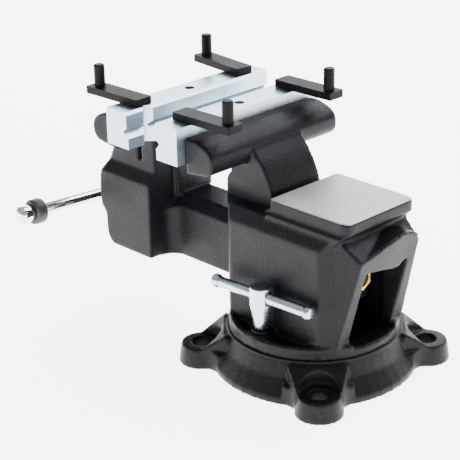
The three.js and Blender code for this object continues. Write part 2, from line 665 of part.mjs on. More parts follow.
function movingJaw() {
  const headFront = MOVING_BACK_Y - FIT;
  const head = alongX(headSection(), -HEAD_X, HEAD_X).mirror([0, 1, 0]).translate([0, headFront, 0]);
  const headCore = box(-BLOCK_NECK_X, BLOCK_NECK_X, headFront - 17, headFront, HEAD_BOTTOM_Z, HEAD_TOP_Z - 2);
  const screwBoss = roundY(SCREW_BOSS_R, SCREW_BOSS_Y, BLOCK_OUTER_Y + 10, 0, SCREW_Z, ROUND);
  const beam = alongY(beamSection(0, BEAM_BOTTOM_Z), BLOCK_FACE_Y - 5, BEAM_REAR_Y);
  const fillet = [0, 15, 30, 45, 60, 75, 90].map((degrees) => {
    const t = (degrees * Math.PI) / 180;
    return [
      BEAM_X + BEAM_ROOT * (1 - Math.sin(t)),
      BLOCK_FACE_Y + BEAM_ROOT * (1 - Math.cos(t)),
    ];
  });
  const root = common(
    alongZ(outline(mirrored([[BEAM_X + BEAM_ROOT, BLOCK_FACE_Y - 2], ...fillet])), BEAM_BOTTOM_Z, BEAM_TOP_Z),
    alongY(
      outline(
        mirrored([
          [BEAM_X + BEAM_ROOT, BEAM_BOTTOM_Z],
          [BEAM_X + BEAM_ROOT, BEAM_TOP_Z - BEAM_SHOULDER - 4],
          [BEAM_X, BEAM_TOP_Z - BEAM_SHOULDER],
          [BEAM_TOP_X, BEAM_TOP_Z],
        ]),
      ),
      BLOCK_FACE_Y - 3,
      BLOCK_FACE_Y + BEAM_ROOT + 1,
    ),
  );
  const rib = box(-RIB_X, RIB_X, BLOCK_FACE_Y - 1, BLOCK_FACE_Y + RIB_PROUD, BEAM_TOP_Z - 1, BAR_BOTTOM - FIT);
  const boss = barBoss(MOVING_FACE_Y - 3, BLOCK_FACE_Y - 1);
  const whole = join(movingBlock(), head, headCore, screwBoss, beam, root, boss, rib);
  const channel = alongY(
    outline(
      mirrored([
        [CHANNEL_X, BEAM_BOTTOM_Z - 5],
        [CHANNEL_X, CHANNEL_TOP_Z, 6],
      ]),
    ),
    BLOCK_FACE_Y - 14,
    BEAM_REAR_Y + 5,
  );
  const bore = roundY(SCREW_R + BORE_FIT, SCREW_BOSS_Y - 5, BLOCK_FACE_Y, 0, SCREW_Z);
  const relief = alongX(
    outline([
      [BLOCK_FACE_Y + 1, RELIEF_BOTTOM_Z],
      [BLOCK_FACE_Y + 1, BLOCK_SHOULDER_Z],
      [BLOCK_FACE_Y - RELIEF_DEPTH, BLOCK_SHOULDER_Z - 3, 6],
      [BLOCK_FACE_Y - RELIEF_DEPTH, RELIEF_BOTTOM_Z, 6],
    ]),
    -BLOCK_X - 1,
    -RIB_X,
  );
  let jaw = cut(whole, channel, bore, relief, boltHole(barMiddle(MOVING_FACE_Y, MOVING_BACK_Y)));
  for (const side of [-1, 1]) {
    const x = side * BLOCK_NECK_X;
    const slotY = MOVING_BACK_Y - 5.5;
    jaw = cut(jaw, box(x - 4, x + 4, slotY - 1.8, slotY + 1.8, BAR_BOTTOM - 21, BAR_BOTTOM - 10));
  }
  addPiece("moving_jaw", jaw, BLACK_COAT);
}

// ---------- jaw bars and their arms ----------
function movingBar() {
  const vTop = V_MIDDLE_Z + V_HEIGHT / 2;
  const vBottom = V_MIDDLE_Z - V_HEIGHT / 2;
  const lip = MOVING_FACE_Y + BAR_LIP;
  const section = outline([
    [MOVING_BACK_Y, BAR_BOTTOM],
    [lip, BAR_BOTTOM],
    [lip, vBottom],
    [MOVING_FACE_Y - V_DEPTH, V_MIDDLE_Z + 0.6],
    [MOVING_FACE_Y, vTop],
    [MOVING_FACE_Y, BAR_TOP - BAR_CHAMFER],
    [MOVING_FACE_Y - BAR_CHAMFER, BAR_TOP],
    [MOVING_BACK_Y, BAR_TOP],
  ]);
  const uprightV = outline([
    [UPRIGHT_V_X - UPRIGHT_V_WIDTH / 2 - BAR_LIP, lip + 0.1],
    [UPRIGHT_V_X + UPRIGHT_V_WIDTH / 2 + BAR_LIP, lip + 0.1],
    [UPRIGHT_V_X, MOVING_FACE_Y - UPRIGHT_V_WIDTH / 2],
  ]);
  const bar = alongX(section, -JAW_WIDTH / 2, JAW_WIDTH / 2);
  return cut(bar, alongZ(uprightV, BAR_BOTTOM - 1, BAR_TOP + 1));
}

function staticBar() {
  const section = outline([
    [STATIC_FACE_Y, BAR_BOTTOM],
    [STATIC_BACK_Y, BAR_BOTTOM],
    [STATIC_BACK_Y, BAR_TOP],
    [STATIC_FACE_Y, BAR_TOP],
    [STATIC_FACE_Y, V_MIDDLE_Z + V_HEIGHT / 2],
    [STATIC_FACE_Y + V_DEPTH, V_MIDDLE_Z],
    [STATIC_FACE_Y, V_MIDDLE_Z - V_HEIGHT / 2],
  ]);
  return alongX(section, -JAW_WIDTH / 2, JAW_WIDTH / 2);
}

function jawBar(name, bar, middleY) {
  let piece = cut(bar, upright(BAR_HOLE_R, BAR_BOTTOM - 1, BAR_TOP + 1, 0, middleY));
  for (const side of [-1, 1]) {
    const seat = upright(PIVOT_R + BORE_FIT, BAR_TOP - PIVOT_DEPTH, BAR_TOP + 1, side * ARM_X, middleY, 16);
    piece = piece.subtract(seat);
  }
  addPiece(name, piece, ZINC);
}

// A grub bolt stands in the bar's middle hole and in the boss below it.
function barBolt(name, middleY) {
  const r = BAR_HOLE_R - FIT;
  const bolt = upright(r, HEAD_BOTTOM_Z - 4 + FIT, BAR_TOP - 9, 0, middleY, 16);
  const socket = upright(r * 0.55, BAR_TOP - 12, BAR_TOP, 0, middleY, 6);
  addPiece(name, bolt.subtract(socket), STEEL);
}

// An arm points along +Y from its pivot; "turn" swings it about the pivot, in degrees.
function swingArm(side, jaw, middleY, turn) {
  const x = side * ARM_X;
  const label = (side > 0 ? "right" : "left") + "_" + jaw;
  const inner = -ARM_WIDTH / 2;
  const plan = outline([
    [-ARM_WIDTH / 2, inner, 0.8],
    [ARM_WIDTH / 2, inner, 0.8],
    [ARM_WIDTH / 2, inner + ARM_LENGTH, 0.8],
    [-ARM_WIDTH / 2, inner + ARM_LENGTH, 0.8],
  ]);
  const stubR = PIN_R - 1;
  const place = (shape) => shape.rotate([0, 0, turn]).translate([x, middleY, 0]);
  const arm = cut(
    alongZ(plan, ARM_Z, ARM_TOP_Z, 2),
    upright(PIVOT_R + BORE_FIT, ARM_Z - 1, ARM_TOP_Z - 1.2, 0, 0, 16),
    upright(stubR + FIT, ARM_Z - 1, ARM_TOP_Z + 1, 0, PIN_REACH, 16),
  );
  const pin = join(
    upright(PIN_R, ARM_TOP_Z + FIT, ARM_TOP_Z + PIN_HEIGHT - 0.7, 0, PIN_REACH, SMALL),
    uprightCone(PIN_R, PIN_R - 0.7, ARM_TOP_Z + PIN_HEIGHT - 0.7, ARM_TOP_Z + PIN_HEIGHT, 0, PIN_REACH, SMALL),
    upright(stubR, ARM_Z + FIT, ARM_TOP_Z + 1, 0, PIN_REACH, 16),
  );
  const stud = upright(PIVOT_R, BAR_TOP - PIVOT_DEPTH + FIT, ARM_TOP_Z - 1.2 - FIT, 0, 0, 16);
  addPiece(label + "_arm", place(arm), BLACK_OXIDE);
  addPiece(label + "_arm_pin", place(pin), BLACK_OXIDE);
  addPiece(label + "_arm_pivot", place(stud), STEEL);
}

// ---------- screw, nut and handle ----------
function washer(name, inner, outer, y0, y1, material) {
  const ring = cut(
    roundY(outer, y0, y1, 0, SCREW_Z, SMALL),
    roundY(inner, y0 - 1, y1 + 1, 0, SCREW_Z, SMALL),
  );
  addPiece(name, ring, material);
}

// Pieces that lie along the handle are made along X through the screw axis and tilted with it.
function tilted(shape) {
  return shape.translate([0, -HANDLE_Y, -SCREW_Z]).rotate([0, -HANDLE_TILT, 0]).translate([0, HANDLE_Y, SCREW_Z]);
}

const handleRound = (r, x0, x1, sides) =>
  roundY(r, x0, x1, 0, 0, sides).rotate([0, 0, -90]).translate([0, HANDLE_Y, SCREW_Z]);

function mainScrew() {
  const pinY = BLOCK_FACE_Y - 14 + FIT * 2 + WASHER_THICK + 3;
  const endWasherY = SCREW_END_Y - 9;
  const head = join(
    roundY(SCREW_HEAD_R, SCREW_HEAD_Y + 2, SCREW_SHOULDER_Y, 0, SCREW_Z, ROUND),
    roundY(SCREW_HEAD_R - 2, SCREW_HEAD_Y, SCREW_HEAD_Y + 3, 0, SCREW_Z, ROUND),
  );
  const shank = roundY(SCREW_R, SCREW_SHOULDER_Y - 1, endWasherY, 0, SCREW_Z);
  const end = roundY(SCREW_R - 2, endWasherY - 1, SCREW_END_Y, 0, SCREW_Z);
  const handleHole = tilted(handleRound(HANDLE_R + BORE_FIT, -20, 20, SMALL));
  const pinHole = upright(1.5 + FIT, SCREW_Z - 20, SCREW_Z + 20, 0, pinY, 12);
  addPiece("main_screw", cut(join(head, shank, end), handleHole, pinHole), STEEL);
  addPiece("screw_split_pin", upright(1.5, SCREW_Z - 10, SCREW_Z + 10, 0, pinY, 12), STEEL);
  washer("screw_front_washer", SCREW_R + BORE_FIT, 12, SCREW_BOSS_Y - FIT - WASHER_THICK, SCREW_BOSS_Y - FIT, ZINC);
  const innerWasherY = BLOCK_FACE_Y - 14 + FIT;
  washer("screw_inner_washer", SCREW_R + BORE_FIT, 10.5, innerWasherY, innerWasherY + WASHER_THICK, ZINC);
  washer("screw_end_washer", SCREW_R - 2 + FIT, 10.5, endWasherY + FIT, endWasherY + FIT + 3, ZINC);
  const nutStart = endWasherY + FIT * 2 + 3;
  const endBore = SCREW_R - 2 + FIT;
  const endNut = cut(
    roundY((endBore + END_NUT_WALL) / Math.cos(Math.PI / 6), nutStart, SCREW_END_Y + 0.5, 0, SCREW_Z, 6),
    roundY(endBore, nutStart - 1, SCREW_END_Y + 2, 0, SCREW_Z, SMALL),
  );
  addPiece("screw_end_nut", endNut, BRASS);
}

function mainNut() {
  const half = CHANNEL_X - SLIDE_FIT;
  const bottom = CHANNEL_FLOOR_Z - NUT_FOOT_THICK;
  const boltY = NUT_REAR_Y + NUT_FOOT / 2;
  const tower = alongY(
    outline(
      mirrored([
        [half, bottom],
        [half, SCREW_Z + SCREW_R + 3, 8],
      ]),
    ),
    NUT_FRONT_Y,
    NUT_REAR_Y,
  );
  const foot = box(-half, half, NUT_REAR_Y - 1, NUT_REAR_Y + NUT_FOOT, bottom, CHANNEL_FLOOR_Z);
  const bore = roundY(SCREW_R + BORE_FIT, NUT_FRONT_Y - 1, NUT_REAR_Y + 1, 0, SCREW_Z);
  const boltBore = upright(NUT_BOLT_R + BORE_FIT, bottom - 1, CHANNEL_FLOOR_Z + 1, 0, boltY);
  addPiece("main_nut", cut(join(tower, foot), bore, boltBore), STEEL);
  const bolt = join(
    upright(NUT_BOLT_R, FOOT_Z - 2 - FIT, CHANNEL_FLOOR_Z - 1, 0, boltY, 16),
    upright(6.2, FOOT_Z - 7, FOOT_Z - 1 - FIT, 0, boltY, 6),
  );
  addPiece("nut_bolt", bolt, STEEL);
}

function handle() {
  const barEnd = HANDLE_HALF - KNOB_LENGTH;
  const bar = join(
    handleRound(HANDLE_R, -barEnd, barEnd, SMALL),
    handleRound(HANDLE_STUB_R, -barEnd - HANDLE_STUB, barEnd + HANDLE_STUB, 16),
  );
  addPiece("handle_bar", tilted(bar), CHROME);
  for (const side of [-1, 1]) {
    const label = side > 0 ? "right" : "left";
    const stop = barEnd - COLLAR_LENGTH - FIT;
    const collar = cut(
      handleRound(COLLAR_R, side * stop, side * (stop + COLLAR_LENGTH), SMALL),
      handleRound(HANDLE_R + FIT, side * (stop - 1), side * (stop + COLLAR_LENGTH + 1), SMALL),
    );
    const profile = [
      [0, 0],
      [KNOB_R, 0],
      [KNOB_R, KNOB_LENGTH - 4],
      [KNOB_R * 0.86, KNOB_LENGTH - 1.8],
      [KNOB_R * 0.5, KNOB_LENGTH - 0.4],
      [0, KNOB_LENGTH - FIT],
    ];
    const knob = turned(profile, SMALL)
      .rotate([0, side * 90, 0])
      .translate([side * (barEnd + FIT), HANDLE_Y, SCREW_Z])
      .subtract(handleRound(HANDLE_STUB_R + FIT, side * barEnd, side * (barEnd + HANDLE_STUB + 1), 16));
    addPiece(label + "_handle_collar", tilted(collar), RUBBER);
    addPiece(label + "_handle_knob", tilted(knob), CHROME);
  }
}

// ---------- swivel locks ----------
function swivelLock(side) {
  const label = side > 0 ? "right" : "left";
  const x = side * LOCK_X;
  const turn = TBAR_TURN;
  const alongBar = (r, y0, y1, sides) =>
    roundY(r, y0, y1, 0, TBAR_Z, sides).rotate([0, 0, turn]).translate([x, LOCK_Y, 0]);
  const screw = cut(
    join(
      uprightCone(LOCK_FOOT_R, LOCK_TOP_R, LOCK_FOOT_Z, LOCK_TOP_Z - LOCK_BARREL, x, LOCK_Y, SMALL),
      upright(LOCK_TOP_R, LOCK_TOP_Z - LOCK_BARREL, LOCK_TOP_Z, x, LOCK_Y, SMALL),
      upright(LOCK_SHANK_R, BASE_FLOOR + 3, LOCK_FOOT_Z + 1, x, LOCK_Y, SMALL),
    ),
    alongBar(TBAR_R + BORE_FIT, -20, 20, SMALL),
  );
  addPiece(label + "_lock_screw", screw, ZINC);
  const neck = TBAR_HALF - TBAR_END;
  const bar = turned(
    [
      [0, -TBAR_HALF],
      [TBAR_END_R - 0.4, -TBAR_HALF],
      [TBAR_END_R, -neck - 2.2],
      [TBAR_R, -neck],
      [TBAR_R, neck],
      [TBAR_END_R, neck + 2.2],
      [TBAR_END_R - 0.4, TBAR_HALF],
      [0, TBAR_HALF],
    ],
    16,
  )
    .rotate([-90, 0, turn])
    .translate([x, LOCK_Y, TBAR_Z]);
  addPiece(label + "_lock_bar", bar, ZINC);
  const ring = cut(
    upright(LOCK_WASHER_R, LOCK_SEAT_Z + FIT, LOCK_SEAT_Z + FIT + LOCK_WASHER, x, LOCK_Y, SMALL),
    upright(LOCK_SHANK_R + BORE_FIT, LOCK_SEAT_Z, LOCK_FOOT_Z, x, LOCK_Y, SMALL),
  );
  addPiece(label + "_lock_washer", ring, BLACK_OXIDE);
  const nut = cut(
    box(-TNUT_RADIAL / 2, TNUT_RADIAL / 2, -TNUT_ALONG / 2, TNUT_ALONG / 2, LIP_Z - FIT - TNUT_HEIGHT, LIP_Z - FIT)
      .translate([x, LOCK_Y, 0]),
    upright(LOCK_SHANK_R + BORE_FIT, 0, LIP_Z + 2, x, LOCK_Y, SMALL),
  );
  addPiece(label + "_lock_t_nut", nut, STEEL);
}

// ---------- the vise ----------
const movingMiddle = barMiddle(MOVING_FACE_Y, MOVING_BACK_Y);
const staticMiddle = barMiddle(STATIC_FACE_Y, STATIC_BACK_Y);
swivelBase();
viseBody();
movingJaw();
jawBar("moving_jaw_bar", movingBar(), movingMiddle);
jawBar("static_jaw_bar", staticBar(), staticMiddle);
barBolt("moving_bar_bolt", movingMiddle);
barBolt("static_bar_bolt", staticMiddle);
swingArm(1, "moving", movingMiddle, 180 + 2);
swingArm(-1, "moving", movingMiddle, 180 - 6);
swingArm(1, "static", staticMiddle, 2);
swingArm(-1, "static", staticMiddle, 1);
mainScrew();
mainNut();
handle();
swivelLock(1);
swivelLock(-1);

export default vise;
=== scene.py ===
import json
from math import cos, pi, radians, sin

import bmesh
import bpy
from mathutils import Matrix, Vector


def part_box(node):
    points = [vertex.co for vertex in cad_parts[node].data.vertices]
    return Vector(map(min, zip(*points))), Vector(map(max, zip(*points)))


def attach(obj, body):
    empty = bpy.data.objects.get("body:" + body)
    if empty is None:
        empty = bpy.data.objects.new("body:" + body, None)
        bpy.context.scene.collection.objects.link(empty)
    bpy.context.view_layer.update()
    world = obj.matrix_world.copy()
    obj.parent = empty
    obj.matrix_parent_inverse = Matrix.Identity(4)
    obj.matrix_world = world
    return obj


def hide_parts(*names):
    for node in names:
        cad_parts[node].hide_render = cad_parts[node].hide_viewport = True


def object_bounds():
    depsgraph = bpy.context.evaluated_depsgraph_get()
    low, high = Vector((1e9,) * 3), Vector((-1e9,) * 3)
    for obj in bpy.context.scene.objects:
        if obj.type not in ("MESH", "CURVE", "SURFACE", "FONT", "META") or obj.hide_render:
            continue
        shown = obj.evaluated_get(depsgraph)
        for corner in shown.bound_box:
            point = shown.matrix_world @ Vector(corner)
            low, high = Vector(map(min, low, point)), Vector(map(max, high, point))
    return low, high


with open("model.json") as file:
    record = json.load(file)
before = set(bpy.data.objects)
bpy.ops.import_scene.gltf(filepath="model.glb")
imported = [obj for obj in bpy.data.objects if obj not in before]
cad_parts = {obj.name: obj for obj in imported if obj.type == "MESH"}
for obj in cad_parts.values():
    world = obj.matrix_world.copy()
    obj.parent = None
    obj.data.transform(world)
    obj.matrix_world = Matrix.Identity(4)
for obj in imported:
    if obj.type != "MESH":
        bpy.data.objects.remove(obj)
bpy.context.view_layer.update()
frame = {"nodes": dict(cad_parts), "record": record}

MM = 0.001
SIDES = ("right", "left")
JAWS = ("moving", "static")

# ---------------------------------------------------------------- camera
CAMERA_AIM = Vector((0.1206, 0.0486, 0.1410))
CAMERA_DISTANCE = 0.8039
CAMERA_AZIMUTH = radians(135.92)
CAMERA_ELEVATION = radians(22.91)
CAMERA_ROLL = radians(-1.16)
CAMERA_LENS = 116.8  # mm
SENSOR_WIDTH = 36  # mm
NEAREST_SEEN = 0.05  # metres


def direction(azimuth, elevation):
    """The way from the object towards a viewer; azimuth 0 looks along +Y."""
    return Vector((
        sin(azimuth) * cos(elevation),
        -cos(azimuth) * cos(elevation),
        sin(elevation),
    ))


def make_camera():
    back = direction(CAMERA_AZIMUTH, CAMERA_ELEVATION)
    level_right = Vector((0, 0, 1)).cross(back).normalized()
    level_up = back.cross(level_right)
    right = cos(CAMERA_ROLL) * level_right + sin(CAMERA_ROLL) * level_up
    up = cos(CAMERA_ROLL) * level_up - sin(CAMERA_ROLL) * level_right
    data = bpy.data.cameras.new("studio_camera")
    data.lens = CAMERA_LENS
    data.sensor_width = SENSOR_WIDTH
    data.clip_start = NEAREST_SEEN
    camera = bpy.data.objects.new("studio_camera", data)
    turn = Matrix((right, up, back)).transposed().to_4x4()
    camera.matrix_world = Matrix.Translation(CAMERA_AIM + back * CAMERA_DISTANCE) @ turn
    bpy.context.collection.objects.link(camera)
    bpy.context.scene.camera = camera


# ---------------------------------------------------------------- studio
COVE_GLOW = 5.5
# How bright the cove is at each height, from the horizon at 0 to straight up at 1.
COVE_SHADES = ((0.0, 1.0), (0.06, 1.0), (0.18, 0.12), (0.62, 0.09), (1.0, 0.14))
FLOOR_HALF = 20  # metres
FLOOR_GAP = 0.5 * MM  # keeps the floor clear of the base's foot
LIGHTS_AIM = Vector((0, -0.03, 0.09))
SOFTBOX_WATTS = 26
DAYLIGHT = (0.93, 0.965, 1.0)


def soft_light(name, size, azimuth, elevation, distance):
    data = bpy.data.lights.new(name, "AREA")
    data.shape = "RECTANGLE"
    data.size, data.size_y = size
    data.energy = SOFTBOX_WATTS
    data.color = DAYLIGHT
    light = bpy.data.objects.new(name, data)
    back = direction(radians(azimuth), radians(elevation))
    light.location = LIGHTS_AIM + back * distance
    light.rotation_euler = back.to_track_quat("Z", "Y").to_euler()
    bpy.context.collection.objects.link(light)


def make_world():
    """A white cove: bright at the horizon, and dim overhead, so that metal has something dark to mirror."""
    world = bpy.data.worlds.new("pale_cove")
    world.use_nodes = True
    tree = world.node_tree
    spot = add(tree, "ShaderNodeSeparateXYZ", Vector=add(tree, "ShaderNodeTexCoord").outputs["Generated"])
    sky = ramp(tree, spot.outputs["Z"], *COVE_SHADES)
    tree.links.new(sky, tree.nodes["Background"].inputs["Color"])
    tree.nodes["Background"].inputs["Strength"].default_value = COVE_GLOW
    bpy.context.scene.world = world


def make_studio():
    make_world()
    soft_light("overhead_softbox", size=(0.9, 1.1), azimuth=256, elevation=52, distance=1.4)
    soft_light("backdrop_softbox", size=(1.8, 0.7), azimuth=316, elevation=27, distance=1.6)
    bm = bmesh.new()
    bmesh.ops.create_grid(bm, x_segments=1, y_segments=1, size=FLOOR_HALF)
    mesh = bpy.data.meshes.new("light_table")
    bm.to_mesh(mesh)
    bm.free()
    floor = bpy.data.objects.new("light_table", mesh)
    floor.location.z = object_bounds()[0][2] - FLOOR_GAP
    bpy.context.collection.objects.link(floor)
    floor.data.materials.append(opal_acrylic())


# ---------------------------------------------------------------- materials
def colour(hex_code):
    """sRGB hex to the linear colour that shaders take."""
    channels = [int(hex_code[i : i + 2], 16) / 255 for i in (1, 3, 5)]
    linear = [c / 12.92 if c <= 0.04045 else ((c + 0.055) / 1.055) ** 2.4 for c in channels]
    return (*linear, 1.0)


def new_material(name):
    material = bpy.data.materials.new(name)
    material.use_nodes = True
    tree = material.node_tree
    return material, tree, tree.nodes["Principled BSDF"]


def add(tree, kind, settings=None, **links):
    """Adds one node. An input is given by its name, or as i and its number; a socket is linked, a value set."""
    node = tree.nodes.new(kind)
    for key, value in (settings or {}).items():
        setattr(node, key, value)
    for key, value in links.items():
        by_number = key[0] == "i" and key[1:].isdigit()
        socket = node.inputs[int(key[1:]) if by_number else key]
        if isinstance(value, bpy.types.NodeSocket):
            tree.links.new(value, socket)
        else:
            socket.default_value = value
    return node


def per_mm(size):
    """The noise scale whose features are about this many millimetres wide, on coordinates in metres."""
    return 1 / (size * MM)


def ramp(tree, factor, *stops):
    """A colour ramp; each stop is (place, colour), or (place, shade of grey)."""
    node = add(tree, "ShaderNodeValToRGB", i0=factor)
    elements = node.color_ramp.elements
    while len(elements) < len(stops):
        elements.new(0.5)
    for element, (place, value) in zip(elements, stops):
        element.position = place
        element.color = value if isinstance(value, tuple) else (value, value, value, 1)
    return node.outputs["Color"]


def opal_acrylic():
    """A table of opal acrylic lit from below: even and white, with hardly a shadow."""
    material, tree, skin = new_material("opal_acrylic_lit_from_below")
    skin.inputs["Base Color"].default_value = colour("#D8D8D8")
    skin.inputs["Roughness"].default_value = 0.9
    skin.inputs["Specular IOR Level"].default_value = 0.1
    skin.inputs["Emission Color"].default_value = (1, 1, 1, 1)
    skin.inputs["Emission Strength"].default_value = COVE_GLOW
    return material


CLOUD_MM = 18  # slow changes of tone and gloss over plated and turned metal
GROUND_BAND = 0.35 * MM  # how near the anvil's top the bare iron reaches
GROUND_GLOSS = (0.42, 0.42, 0.42, 1)
GROUND_METALLIC = 0.6


def ground_mask(tree, place):
    """1 on the anvil's face, where the coat is ground off, and 0 elsewhere."""
    spot = add(tree, "ShaderNodeSeparateXYZ", Vector=place)
    away = add(tree, "ShaderNodeMath", {"operation": "SUBTRACT"}, i0=spot.outputs["Z"], i1=ANVIL_TOP)
    off_level = add(tree, "ShaderNodeMath", {"operation": "ABSOLUTE"}, i0=away.outputs[0])
    level = add(tree, "ShaderNodeMath", {"operation": "LESS_THAN"}, i0=off_level.outputs[0], i1=GROUND_BAND)
    behind = add(
        tree, "ShaderNodeMath", {"operation": "GREATER_THAN"}, i0=spot.outputs["Y"], i1=ANVIL_START_Y
    )
    both = add(
        tree, "ShaderNodeMath", {"operation": "MULTIPLY"}, i0=level.outputs[0], i1=behind.outputs[0]
    )
    return both.outputs[0]


def black_powder_coat(with_ground_anvil=False):
    """Powder coat baked on sand-cast iron: near black, pebbled like fine orange peel, with a soft wide sheen.
    The anvil's face is ground through the coat to bare grey iron."""
    material, tree, skin = new_material("black_powder_coat" + ("_ground_anvil" if with_ground_anvil else ""))
    place = add(tree, "ShaderNodeTexCoord").outputs["Object"]
    # The real pebble and grit are about half as wide; they are drawn this coarse so that they show.
    pebble = add(tree, "ShaderNodeTexNoise", Vector=place, Scale=per_mm(1.0), Detail=2.0, Roughness=0.55)
    sand = add(
        tree, "ShaderNodeTexVoronoi", {"feature": "SMOOTH_F1"},
        Vector=place, Scale=per_mm(1.4), Smoothness=0.5,
    )
    swell = add(tree, "ShaderNodeTexNoise", Vector=place, Scale=per_mm(22), Detail=3.0)
    tint = ramp(
        tree, pebble.outputs["Fac"],
        (0.30, colour("#08080A")), (0.55, colour("#101013")), (0.75, colour("#1D1C21")),
    )
    gloss = ramp(tree, swell.outputs["Fac"], (0.35, 0.36), (0.65, 0.46))
    grain = add(
        tree, "ShaderNodeMath", {"operation": "ADD"},
        i0=pebble.outputs["Fac"], i1=sand.outputs["Distance"],
    )
    bump = add(tree, "ShaderNodeBump", Height=grain.outputs[0], Strength=0.6, Distance=0.2 * MM)
    wave = add(
        tree, "ShaderNodeBump",
        Height=swell.outputs["Fac"], Strength=0.3, Distance=1.0 * MM, Normal=bump.outputs[0],
    )
    normal = wave.outputs[0]
    if with_ground_anvil:
        ground = ground_mask(tree, place)
        # Grinding marks along the vise, drawn wider than real ones so that they show.
        stretched = add(tree, "ShaderNodeMapping", Vector=place, Scale=(1.0, 0.08, 1.0))
        scratches = add(
            tree, "ShaderNodeTexNoise", Vector=stretched.outputs[0], Scale=per_mm(0.7), Detail=3.0
        )
        iron = ramp(tree, scratches.outputs["Fac"], (0.3, colour("#9C9895")), (0.7, colour("#B4B0AD")))
        tint = add(tree, "ShaderNodeMix", {"data_type": "RGBA"}, i0=ground, i6=tint, i7=iron).outputs[2]
        gloss = add(
            tree, "ShaderNodeMix", {"data_type": "RGBA"}, i0=ground, i6=gloss, i7=GROUND_GLOSS
        ).outputs[2]
        metal = add(tree, "ShaderNodeMath", {"operation": "MULTIPLY"}, i0=ground, i1=GROUND_METALLIC)
        tree.links.new(metal.outputs[0], skin.inputs["Metallic"])
        smooth = add(
            tree, "ShaderNodeBump", Height=scratches.outputs["Fac"], Strength=0.15, Distance=0.03 * MM
        )
        normal = add(
            tree, "ShaderNodeMix", {"data_type": "VECTOR"}, i0=ground, i4=normal, i5=smooth.outputs[0]
        ).outputs[1]
    tree.links.new(tint, skin.inputs["Base Color"])
    tree.links.new(gloss, skin.inputs["Roughness"])
    tree.links.new(normal, skin.inputs["Normal"])
    skin.inputs["Specular IOR Level"].default_value = 0.11
    return material


def metal_finish(
    name, dark, light, rough, bump_mm, grain_mm,
    stretch=(1, 1, 1), metallic=1.0, specular=0.5,
):
    """A bare or plated metal: fine grain, and slow clouds that vary its tone and gloss. The grain is wider
    than real tool marks so that it shows, and stretch draws it out along one axis."""
    material, tree, skin = new_material(name)
    place = add(tree, "ShaderNodeTexCoord").outputs["Object"]
    stretched = add(tree, "ShaderNodeMapping", Vector=place, Scale=stretch)
    grain = add(
        tree, "ShaderNodeTexNoise", Vector=stretched.outputs[0], Scale=per_mm(grain_mm), Detail=4.0
    )
    cloud = add(tree, "ShaderNodeTexNoise", Vector=place, Scale=per_mm(CLOUD_MM), Detail=3.0)
    half_cloud = add(tree, "ShaderNodeMath", {"operation": "MULTIPLY"}, i0=cloud.outputs["Fac"], i1=0.5)
    tone = add(
        tree, "ShaderNodeMath", {"operation": "MULTIPLY_ADD"},
        i0=grain.outputs["Fac"], i1=0.5, i2=half_cloud.outputs[0],
    ).outputs[0]
    tree.links.new(ramp(tree, tone, (0.35, colour(dark)), (0.65, colour(light))), skin.inputs["Base Color"])
    tree.links.new(ramp(tree, tone, (0.3, rough[0]), (0.7, rough[1])), skin.inputs["Roughness"])
    bump = add(tree, "ShaderNodeBump", Height=grain.outputs["Fac"], Strength=0.3, Distance=bump_mm * MM)
    tree.links.new(bump.outputs[0], skin.inputs["Normal"])
    skin.inputs["Metallic"].default_value = metallic
    skin.inputs["Specular IOR Level"].default_value = specular
    return material


def zinc_plate():
    """Bright zinc over milled steel: pale blue-white, satin, with faint milling lines along the bar."""
    return metal_finish(
        "bright_zinc_plate_milled", "#9EAFBB", "#BBCBD6", (0.28, 0.40),
        bump_mm=0.004, grain_mm=0.9, stretch=(0.3, 1, 1),
    )


def zinc_fastener():
    """Barrel-plated zinc on turned pieces: paler and softer than on the milled bars."""
    return metal_finish(
        "barrel_zinc_plate_turned", "#A9B6BD", "#C6D2D8", (0.22, 0.32), bump_mm=0.002, grain_mm=1.2
    )


def black_oxide():
    """Hot black oxide on steel flats: brown-black and satin. The oxide layer hides the metal's own shine."""
    return metal_finish(
        "black_oxide_steel", "#080707", "#151313", (0.42, 0.55),
        bump_mm=0.03, grain_mm=0.6, metallic=0.0, specular=0.07,
    )


def polished_chrome():
    """Chrome plate on a polished bar: mirror bright, with hardly any grain."""
    return metal_finish(
        "polished_chrome_plate", "#D8DADC", "#F0F1F2", (0.05, 0.10), bump_mm=0.002, grain_mm=0.5
    )


def oiled_steel():
    """Turned and oiled carbon steel: mid grey, with fine tool marks."""
    return metal_finish(
        "turned_oiled_steel", "#6E7073", "#93969A", (0.28, 0.42), bump_mm=0.02, grain_mm=0.5
    )


def turned_brass():
    """Turned brass, a little dull."""
    return metal_finish("turned_brass", "#A97B36", "#D3A458", (0.28, 0.40), bump_mm=0.02, grain_mm=0.5)


def moulded_rubber():
    """Moulded black rubber: matt, with a fine blasted mould texture, drawn coarse enough to show."""
    material, tree, skin = new_material("moulded_black_rubber")
    place = add(tree, "ShaderNodeTexCoord").outputs["Object"]
    grain = add(tree, "ShaderNodeTexNoise", Vector=place, Scale=per_mm(0.6), Detail=3.0)
    tint = ramp(tree, grain.outputs["Fac"], (0.3, colour("#131315")), (0.7, colour("#232326")))
    tree.links.new(tint, skin.inputs["Base Color"])
    bump = add(tree, "ShaderNodeBump", Height=grain.outputs["Fac"], Strength=0.3, Distance=0.05 * MM)
    tree.links.new(bump.outputs[0], skin.inputs["Normal"])
    skin.inputs["Roughness"].default_value = 0.55
    return material


# ---------------------------------------------------------------- mesh helpers
def stand_for(piece, node):
    """Puts a piece in a CAD node's place, on the node's body; the node itself is hidden."""
    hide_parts(node)
    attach(piece, BODY_OF[node])


